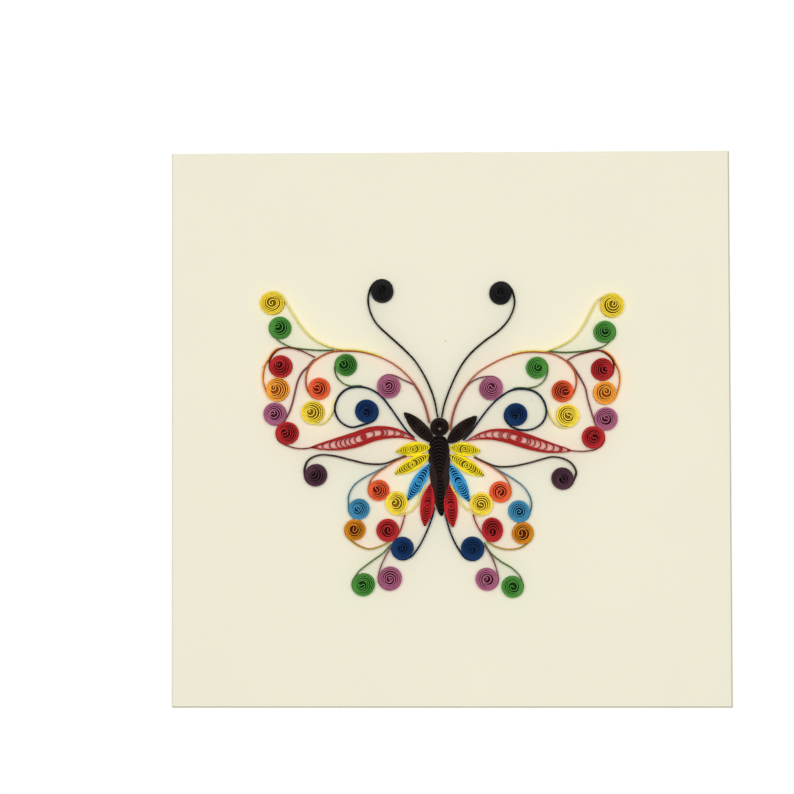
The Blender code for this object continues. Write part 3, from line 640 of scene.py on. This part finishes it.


# A strip's paper: its colour, the darker, duller colour painted on its cut edge where it stands by
# itself as an open tail, as painted shade, how much of its colour the painted shade in the gaps of
# its coils keeps, and the turns of a coil.
Stock = namedtuple("Stock", "colour bare_edge gap_tone turns", defaults=(None,))
PAPERS = {
    "black": Stock(srgb(34, 34, 35), srgb(22, 21, 16), 0.08, 7),
    "dark_brown": Stock(srgb(46, 33, 29), srgb(34, 25, 21), 0.09, 9),
    "yellow": Stock(srgb(255, 224, 66), srgb(226, 216, 98), 0.62, 5.5),
    "green": Stock(srgb(80, 149, 62), srgb(78, 106, 42), 0.28, 5.5),
    "crimson": Stock(srgb(187, 42, 43), srgb(112, 22, 20), 0.24, 6),
    "red": Stock(srgb(204, 42, 44), srgb(176, 40, 38), 0.30),
    "orange": Stock(srgb(255, 170, 60), srgb(232, 152, 52), 0.76, 5.5),
    "orange_red": Stock(srgb(240, 98, 53), srgb(178, 96, 44), 0.42, 5.75),
    "mauve": Stock(srgb(182, 104, 135), srgb(122, 70, 78), 0.32, 5.75),
    "navy": Stock(srgb(20, 54, 99), srgb(13, 29, 48), 0.14, 7),
    "sky_blue": Stock(srgb(68, 144, 182), srgb(60, 116, 136), 0.36, 5.75),
    "amber": Stock(srgb(212, 132, 28), srgb(174, 138, 22), 0.38, 5.75),
    "aubergine": Stock(srgb(84, 53, 66), srgb(56, 38, 38), 0.14, 6),
    "bright_blue": Stock(srgb(66, 168, 222), srgb(60, 116, 136), 0.34),
    "lemon": Stock(srgb(255, 232, 40), srgb(226, 216, 98), 0.62),
}
# The leaves are rolled from brighter strips of these two colours
LEAF_DYES = {"sky_blue": "bright_blue", "yellow": "lemon"}
CREAM = srgb(240, 236, 214)
# The card's cut edges, painted darker as painted shade along its border
SHADED_CUT_EDGE = srgb(205, 200, 180)
STRAW = srgb(176, 158, 104)
# Card seen through the cells of the long red leaves, painted pink with the red walls' bounce light
PAINTED_RED_BOUNCE = srgb(240, 196, 184)


class Nodes:
    """A short way to add and join the nodes of a new material or world."""

    def __init__(self, owner, shader="Principled BSDF"):
        owner.use_nodes = True
        self.owner = owner
        self.tree = owner.node_tree
        self.shader = self.tree.nodes[shader]

    def put(self, value, socket):
        """A socket takes a number or a colour, or is joined to another node's output."""
        if isinstance(value, bpy.types.NodeSocket):
            self.tree.links.new(value, socket)
        else:
            socket.default_value = value

    def add(self, kind, inputs=None, **settings):
        """A node of a kind with its settings, and what goes into its inputs."""
        node = self.tree.nodes.new(kind)
        for key, value in settings.items():
            setattr(node, key, value)
        for key, value in (inputs or {}).items():
            self.put(value, node.inputs[key])
        return node

    def place(self):
        """The place on the piece, in metres."""
        return self.add("ShaderNodeTexCoord").outputs["Object"]

    def mark(self, title):
        """A value that the mesh carries at its corners."""
        return self.add("ShaderNodeAttribute", attribute_name=title).outputs["Fac"]

    def noise(self, place, scale, detail, roughness=0.5):
        """Noise of a scale, read at a place."""
        inputs = {"Vector": place, "Scale": scale, "Detail": detail, "Roughness": roughness}
        return self.add("ShaderNodeTexNoise", inputs).outputs["Fac"]

    def ranged(self, value, low, high, start=0.3, stop=0.7):
        """A value brought from the range start to stop into the range low to high."""
        inputs = {"Value": value, "From Min": start, "From Max": stop, "To Min": low, "To Max": high}
        return self.add("ShaderNodeMapRange", inputs).outputs["Result"]

    def math(self, operation, *values):
        """Two values put together, each a number or an output."""
        inputs = dict(enumerate(values))
        return self.add("ShaderNodeMath", inputs, operation=operation).outputs["Value"]

    def tinted(self, colour, value):
        """The colour made darker or lighter by a value round 1."""
        inputs = {"Factor": 1.0, "A": colour, "B": value}
        mix = self.add("ShaderNodeMix", inputs, data_type="RGBA", blend_type="MULTIPLY")
        return mix.outputs["Result"]

    def surface(self, colour, roughness, specular=0.5):
        """The shader's finish, each part of it a value or an output."""
        self.put(colour, self.shader.inputs["Base Color"])
        self.put(roughness, self.shader.inputs["Roughness"])
        self.put(specular, self.shader.inputs["Specular IOR Level"])

    def relief(self, height, strength, depth):
        """A fine relief whose depth is in millimetres."""
        inputs = {"Height": height, "Strength": strength, "Distance": depth * METRES}
        bump = self.add("ShaderNodeBump", inputs)
        self.put(bump.outputs["Normal"], self.shader.inputs["Normal"])


def paper(name):
    """A dyed quilling paper: mottled colour, fibres along the strip and a painted highlight that makes
    its upward cut edge slightly paler.

    The marks on a strip's corners paint shade down in its gaps, and a darker, duller colour on its
    cut edge where it stands by itself as an open tail, also painted shade.
    """
    title = f"{name}_quilling_paper"
    if title in bpy.data.materials:
        return bpy.data.materials[title]
    nodes = Nodes(bpy.data.materials.new(title))
    colour, tail_edge_shade, *_ = PAPERS[name]
    run = nodes.add("ShaderNodeUVMap", uv_map="strip_run").outputs["UV"]
    stretch = nodes.add("ShaderNodeMapping", {"Vector": run, "Scale": (1.0, FIBRE_STRETCH, 1.0)})
    fibre = nodes.noise(stretch.outputs["Vector"], PAPER_FIBRE, detail=6.0, roughness=0.65)
    mottle = nodes.ranged(nodes.noise(nodes.place(), PAPER_MOTTLE, detail=4.0), low=0.90, high=1.08)
    shade = nodes.math("MULTIPLY", mottle, nodes.ranged(fibre, low=0.92, high=1.07))
    # Painted highlight: faces that look up are painted up to 6% paler
    normal = nodes.add("ShaderNodeNewGeometry").outputs["Normal"]
    rise = nodes.add("ShaderNodeSeparateXYZ", {"Vector": normal}).outputs["Z"]
    edge = nodes.ranged(rise, low=1.0, high=1.06, start=0.5, stop=0.9)
    # Painted shade on open tails: their cut edge is mixed toward the darker tail colour
    ends = {"Factor": nodes.mark("alone"), "A": colour, "B": tail_edge_shade}
    tail_shade = nodes.add("ShaderNodeMix", ends, data_type="RGBA")
    dyed = nodes.tinted(tail_shade.outputs["Result"], nodes.math("MULTIPLY", shade, edge))
    roughness = nodes.ranged(fibre, low=0.62, high=0.80)
    # Painted shade down in the gaps, deepest in the paper's weaker channels
    nodes.surface(nodes.tinted(dyed, gap_shade_colour(nodes, colour)), roughness, specular=0.12)
    nodes.relief(fibre, strength=0.35, depth=PAPER_RELIEF)
    nodes.owner.diffuse_color = colour
    return nodes.owner


def gap_shade_colour(nodes, colour):
    """The painted gap shade at a strip's corners per channel: the weaker a channel, the more it loses."""
    kept = nodes.mark("tone")
    channels = colour[:3]
    strengths = [1 + GAP_RICHNESS * (1 - share / max(channels)) for share in channels]
    painted_shades = {i: nodes.math("POWER", kept, strength) for i, strength in enumerate(strengths)}
    return nodes.add("ShaderNodeCombineColor", painted_shades).outputs["Color"]


def card_board(title, colour):
    """Uncoated board: fine tooth, soft felt marks and faint clouding."""
    nodes = Nodes(bpy.data.materials.new(title))
    place = nodes.place()
    tooth = nodes.noise(place, BOARD_TOOTH, detail=8.0, roughness=0.7)
    felt = nodes.noise(place, BOARD_FELT, detail=3.0)
    cloud = nodes.ranged(nodes.noise(place, BOARD_CLOUD, detail=3.0), low=0.990, high=1.006)
    shade = nodes.math("MULTIPLY", cloud, nodes.ranged(tooth, low=0.985, high=1.010))
    nodes.surface(nodes.tinted(colour, shade), roughness=0.85, specular=0.25)
    height = nodes.math("ADD", tooth, nodes.math("MULTIPLY", felt, 1.5))
    nodes.relief(height, strength=0.22, depth=BOARD_RELIEF)
    nodes.owner.diffuse_color = colour
    return nodes.owner


def pulp():
    """Coarse straw coloured pulp."""
    nodes = Nodes(bpy.data.materials.new("coarse_pulp"))
    grain = nodes.ranged(nodes.noise(nodes.place(), PULP_GRAIN, detail=3.0), low=0.8, high=1.15)
    nodes.surface(nodes.tinted(STRAW, grain), roughness=0.9)
    return nodes.owner


def glue_film():
    """The dried drop of clear glue on the head: dark and wet looking."""
    nodes = Nodes(bpy.data.materials.new("dried_glue"))
    haze = nodes.noise(nodes.place(), GLUE_HAZE, detail=3.0)
    colour = nodes.tinted(PAPERS["dark_brown"].colour, nodes.ranged(haze, low=0.8, high=1.3))
    nodes.surface(colour, nodes.ranged(haze, low=0.30, high=0.42))
    return nodes.owner


def take_place(piece, node=None):
    """The piece rides on the part and stands for the node, whose solid it hides."""
    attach(piece, BODY)
    if node:
        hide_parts(node)


def mesh_piece(name, corners, faces, material, uvs=None, marks=None, crease=STRIP_CREASE):
    """A piece from its corners in millimetres and its faces.

    marks are values for each corner that a material reads by name, and edges bent more than
    crease, in degrees, look sharp.
    """
    mesh = bpy.data.meshes.new(name)
    mesh.from_pydata([corner * METRES for corner in corners], [], faces)
    for title, values in (marks or {}).items():
        mesh.attributes.new(title, "FLOAT", "POINT").data.foreach_set("value", values)
    if uvs:
        layer = mesh.uv_layers.new(name="strip_run")
        for loop, corner in enumerate(mesh.loops):
            layer.data[loop].uv = uvs[corner.vertex_index]
    mesh.materials.append(material)
    mesh.shade_smooth()
    mesh.set_sharp_from_angle(angle=math.radians(crease))
    mesh.validate()
    piece = bpy.data.objects.new(name, mesh)
    bpy.context.collection.objects.link(piece)
    return piece


def stacked(ring, count, first=0):
    """The faces of a closed stack: a count of rings with ring corners each, numbered from first."""
    faces = [tuple(range(first, first + ring))[::-1]]
    for level in range(count - 1):
        for k in range(ring):
            a, b = first + level * ring + k, first + level * ring + (k + 1) % ring
            faces.append((a, b, b + ring, a + ring))
    last = first + (count - 1) * ring
    return faces + [tuple(range(last, last + ring))]


def strip_section(half, foot, top, sheltered, gap_tone, tail_shade):
    """A strip's cross section: each corner's side, height, painted gap shade and share of the
    painted shade on an open tail's cut edge.

    sheltered is how far inside a coil the left and the right wall stand.
    """
    shoulder = min(EDGE_ROUNDING, half)

    def wall(inside):
        """One wall from its foot up, on the positive side."""
        return [(half, foot, 1 - inside * (1 - gap_tone * FOOT_SHARE), 0.0),
                (half, top - GAP_SHADE_DEPTH, 1 - inside * (1 - gap_tone), tail_shade / 2),
                (half, top - shoulder, 1.0, tail_shade),
                (half - shoulder, top, 1.0, tail_shade)]

    left, right = sheltered
    return [(-side, *rest) for side, *rest in wall(right)] + wall(left)[::-1]


def strip_on_edge(name, path, papers, sheltered, colour, painted_seat=(), painted_seat_finish=None, dye=None):
    """One quilling strip stood on its edge along a path, with its cut edges slightly rounded.

    A coil's outline may be given for a sheet under it that closes the foot of its gaps, painted dark
    as shade. The sheet has the strip's paper or its own material, which paints the card in the open
    leaves' cells with red bounce light. The strip's paper is dye, or else the one named by colour.
    """
    dye = dye or colour
    seed = random.Random(name).uniform(0, 100)
    foot = CARD_FRONT - FOOT_DEPTH
    gap_tone = PAPERS[dye].gap_tone
    rows = []
    length = 0.0
    for i, (point, across) in enumerate(zip(path, sides_of(path))):
        if i:
            length += (point - path[i - 1]).length
        place = HEAD_PLACE + point
        top = STRIP_TOP + RISE_WOBBLE * noise.noise(Vector((length / RISE_WAVE, seed, 0.0)))
        lean = LEAN_WOBBLE * noise.noise(Vector((place.x / LEAN_WAVE, place.y / LEAN_WAVE, 0.5)))
        # Painted tail shade where the strip stands by itself, less on the tails that the light reaches
        tail_shade = (1 - max(sheltered[i])) * LIT_TAILS.get(name, 1.0)
        section = strip_section(papers[i] / 2, foot, top, sheltered[i], gap_tone, tail_shade)
        for side, height, tone, alone in section:
            slant = lean * (height - foot) / (STRIP_TOP - foot)
            spot = place + across * side + Vector((slant, slant))
            corner = Vector((spot.x, spot.y, height))
            rows.append((corner, (length * METRES, (height + side) * METRES), tone, alone))
    faces = stacked(len(section), len(path))
    if painted_seat:
        faces += stacked(len(painted_seat), 2, first=len(rows))
        # The sheet under a coil closes the foot of its gaps and is painted dark as shade
        for height in (foot, CARD_FRONT + SEAT_DEPTH):
            for point in painted_seat:
                spot = HEAD_PLACE + point
                corner = Vector((spot.x, spot.y, height))
                rows.append((corner, tuple(spot * METRES), gap_tone * SEAT_SHADE_SHARE, 0.0))
    corners, uvs, painted_shades, alone = zip(*rows)
    marks = {"tone": painted_shades, "alone": alone}
    piece = mesh_piece(f"{name}_strip", corners, faces, paper(dye), uvs, marks)
    if painted_seat_finish:
        piece.data.materials.append(painted_seat_finish)
        for face in piece.data.polygons[-(len(painted_seat) + 2):]:
            face.material_index = 1
    take_place(piece, name)


def folded_card():
    """The back leaf, the rounded fold at the left and the front leaf, as one sheet lying flat.

    The back leaf shows a little at the right and at the bottom, as the fold isn't quite square.
    """
    bend = (CARD_SHEET + CARD_OPENING) / 2
    open_edge = CARD_WIDTH / 2
    fold_x = -CARD_WIDTH / 2 + bend + CARD_SHEET / 2
    middle = CARD_FRONT / 2
    line = [(Vector((open_edge + BACK_SLIP, middle - bend)), Vector((0.0, 1.0)))]
    for step in range(FOLD_FACETS + 1):
        angle = math.pi * step / FOLD_FACETS
        outward = Vector((-math.sin(angle), -math.cos(angle)))
        line.append((Vector((fold_x, middle)) + outward * bend, -outward))
    line.append((Vector((open_edge, middle + bend)), Vector((0.0, -1.0))))
    cut = EDGE_ROUNDING
    half = CARD_SHEET / 2
    corners, faces = [], []
    ends = ((-CARD_HEIGHT / 2, cut), (-CARD_HEIGHT / 2 + cut, 0.0),
            (CARD_HEIGHT / 2 - cut, 0.0), (CARD_HEIGHT / 2, cut))
    for i, (spot, inward) in enumerate(line):
        slip = BACK_DROP * (1 - smooth_step((i - 1) / FOLD_FACETS))
        for k, (y, thinner) in enumerate(ends):
            for side in (-1, 1):
                place = spot + inward * side * (half - thinner)
                back_x = SLANT_CUT if side == -1 and i == len(line) - 1 else 0.0
                back_y = SLANT_CUT if side == -1 and k < 2 else 0.0
                corners.append(Vector((place.x - back_x, y - slip + back_y, place.y)))
    row = 2 * len(ends)
    for i in range(len(line) - 1):
        for k in range(len(ends) - 1):
            a, b = row * i + 2 * k, row * (i + 1) + 2 * k
            faces.append((a, b, b + 2, a + 2))
            faces.append((a + 1, a + 3, b + 3, b + 1))
        for k, flip in ((0, 1), (len(ends) - 1, -1)):
            a, b = row * i + 2 * k, row * (i + 1) + 2 * k
            faces.append((a, a + 1, b + 1, b)[::flip])
    for i, flip in ((0, 1), (len(line) - 1, -1)):
        for k in range(len(ends) - 1):
            a = row * i + 2 * k
            faces.append((a, a + 2, a + 3, a + 1)[::flip])
    board = card_board("cream_card_board", CREAM)
    piece = mesh_piece("folded_card_sheet", corners, faces, board, crease=CARD_CREASE)
    # The cut edges at the right and the bottom take the darker finish: painted shade
    piece.data.materials.append(card_board("cut_card_edge", SHADED_CUT_EDGE))
    for face in piece.data.polygons:
        x, y, _ = face.center / METRES
        at_edge = x > CARD_WIDTH / 2 - SLANT_CUT or y < SLANT_CUT - CARD_HEIGHT / 2
        face.material_index = int(at_edge and abs(face.normal.z) < CUT_SLOPE)
    take_place(piece, "folded_card")


def card_specks():
    """The few flecks of coarser pulp in the card's surface."""
    draw = random.Random("card_specks")
    rings = ((-FOOT_DEPTH, 1.0), *((SPECK_HEIGHT * rise, size) for rise, size in SPECK_RINGS))
    corners, faces = [], []
    for place, size in SPECKS:
        faces += stacked(SPECK_RIM, len(rings), first=len(corners))
        ragged = [size * draw.uniform(1 - SPECK_RAGGEDNESS, 1 + SPECK_RAGGEDNESS) for _ in range(SPECK_RIM)]
        for height, share in rings:
            for i, reach in enumerate(ragged):
                spot = HEAD_PLACE + Vector(place) + bearing(2 * math.pi * i / SPECK_RIM) * reach * share
                corners.append(Vector((spot.x, spot.y, CARD_FRONT + height)))
    piece = mesh_piece("card_specks", corners, faces, pulp())
    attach(piece, BODY)


def glue_drop():
    """The drop of glue that has set on the head's coil."""
    place = HEAD_PLACE + Vector(DROP_PLACE)
    foot = STRIP_TOP - FOOT_DEPTH
    threes, twos = DROP_SWELLS
    corners = []
    for ring in range(DROP_RINGS):
        tilt = math.pi / 2 * ring / DROP_RINGS
        for i in range(DROP_RIM):
            angle = 2 * math.pi * i / DROP_RIM
            uneven = 1 + threes * math.sin(3 * angle) + twos * math.cos(2 * angle)
            spot = place + bearing(angle) * DROP_RADIUS * math.cos(tilt) * uneven
            corners.append(Vector((spot.x, spot.y, foot + DROP_HEIGHT * math.sin(tilt))))
    top = len(corners)
    corners.append(Vector((place.x, place.y, foot + DROP_HEIGHT)))
    *faces, last_ring = stacked(DROP_RIM, DROP_RINGS)
    faces += [(a, b, top) for a, b in zip(last_ring, last_ring[1:] + last_ring[:1])]
    piece = mesh_piece("head_glue_drop", corners, faces, glue_film())
    take_place(piece)


def floor():
    """A wide pale floor that reads white to the camera and keeps the card's shadow."""
    nodes = Nodes(bpy.data.materials.new("pale_floor"))
    nodes.surface(FLOOR_PAINT, roughness=0.9, specular=0.1)
    seen = nodes.add("ShaderNodeLightPath").outputs["Is Camera Ray"]
    glow = nodes.add("ShaderNodeEmission", {"Strength": nodes.math("MULTIPLY", seen, FLOOR_LIFT)})
    shaders = {0: nodes.shader.outputs["BSDF"], 1: glow.outputs["Emission"]}
    both = nodes.add("ShaderNodeAddShader", shaders)
    nodes.put(both.outputs["Shader"], nodes.tree.nodes["Material Output"].inputs["Surface"])
    mesh = bpy.data.meshes.new("floor")
    reach = FLOOR_REACH
    square = ((-reach, -reach), (reach, -reach), (reach, reach), (-reach, reach))
    mesh.from_pydata([(x, y, FLOOR_LEVEL) for x, y in square], [], [(0, 1, 2, 3)])
    mesh.materials.append(nodes.owner)
    ground = bpy.data.objects.new("floor", mesh)
    bpy.context.collection.objects.link(ground)


def lighting():
    """Even white light from all round, and two soft lamps high over the card's left and right."""
    world = bpy.data.worlds.new("studio")
    bpy.context.scene.world = world
    nodes = Nodes(world, "Background")
    seen = nodes.add("ShaderNodeLightPath").outputs["Is Camera Ray"]
    strength = nodes.ranged(seen, low=SKY_LIGHT, high=1.0, start=0.0, stop=1.0)
    nodes.put((1.0, 1.0, 1.0, 1.0), nodes.shader.inputs["Color"])
    nodes.put(strength, nodes.shader.inputs["Strength"])
    data = bpy.data.lights.new("soft_lamp", "AREA")
    data.shape = "DISK"
    data.size = LAMP_SIZE
    data.energy = LAMP_POWER
    for place in LAMP_PLACES:
        lamp = bpy.data.objects.new("soft_lamp", data)
        lamp.location = place
        lamp.rotation_euler = (-lamp.location).to_track_quat("-Z", "Y").to_euler()
        bpy.context.collection.objects.link(lamp)


def camera():
    """The photograph's view: 600 mm above the card, almost straight down."""
    data = bpy.data.cameras.new("camera")
    data.lens = CAMERA_LENS
    data.sensor_width = CAMERA_SENSOR
    data.sensor_fit = "HORIZONTAL"
    data.clip_start, data.clip_end = CAMERA_CLIP
    eye = bpy.data.objects.new("camera", data)
    eye.location = CAMERA_PLACE * METRES
    eye.rotation_euler = Euler([math.radians(angle) for angle in CAMERA_TURN], "XYZ")
    bpy.context.collection.objects.link(eye)
    bpy.context.scene.camera = eye


def scrolls():
    """The wings' and the antennae's scrolls, each after the strip that its tail is glued to."""
    tails = {}
    for scroll in LEFT_FOREWING + LEFT_HINDWING + RIGHT_FOREWING + RIGHT_HINDWING:
        path, papers, sheltered, painted_seat = scroll_path(scroll, tails)
        strip_on_edge(scroll.name, path, papers, sheltered, scroll.paper, painted_seat)


def leaves():
    """The pinched coils along the body and between the wings, and the body."""
    # Card painted pink with the red walls' bounce light, under the open leaves' cells
    painted_red_bounce = card_board("blushed_card", PAINTED_RED_BOUNCE)
    for leaf in LEAVES:
        path, papers, sheltered = leaf_path(leaf)
        painted_seat_finish = None
        # The open leaves get no painted gap shade
        if leaf.name in OPEN_LEAVES:
            painted_seat_finish = painted_red_bounce
            sheltered = [(0.0, 0.0)] * len(path)
        dye = LEAF_DYES.get(leaf.paper)
        strip_on_edge(leaf.name, path, papers, sheltered, leaf.paper, path[:LEAF_STEPS], painted_seat_finish, dye)


def head():
    """The tight coil of the head, which has no tail."""
    path, coil_paper = coil_path(HEAD, HEAD_SEAM)
    sheltered = shelter(len(path), 0, COIL_STEPS, HEAD.winding)
    strip_on_edge(HEAD.name, path, [coil_paper] * len(path), sheltered, HEAD.paper, path[:COIL_STEPS])


def main():
    """The whole scene, its pieces made in a fixed order."""
    folded_card()
    scrolls()
    leaves()
    head()
    card_specks()
    glue_drop()
    floor()
    lighting()
    camera()
    bpy.context.scene.view_settings.view_transform = "Standard"


main()
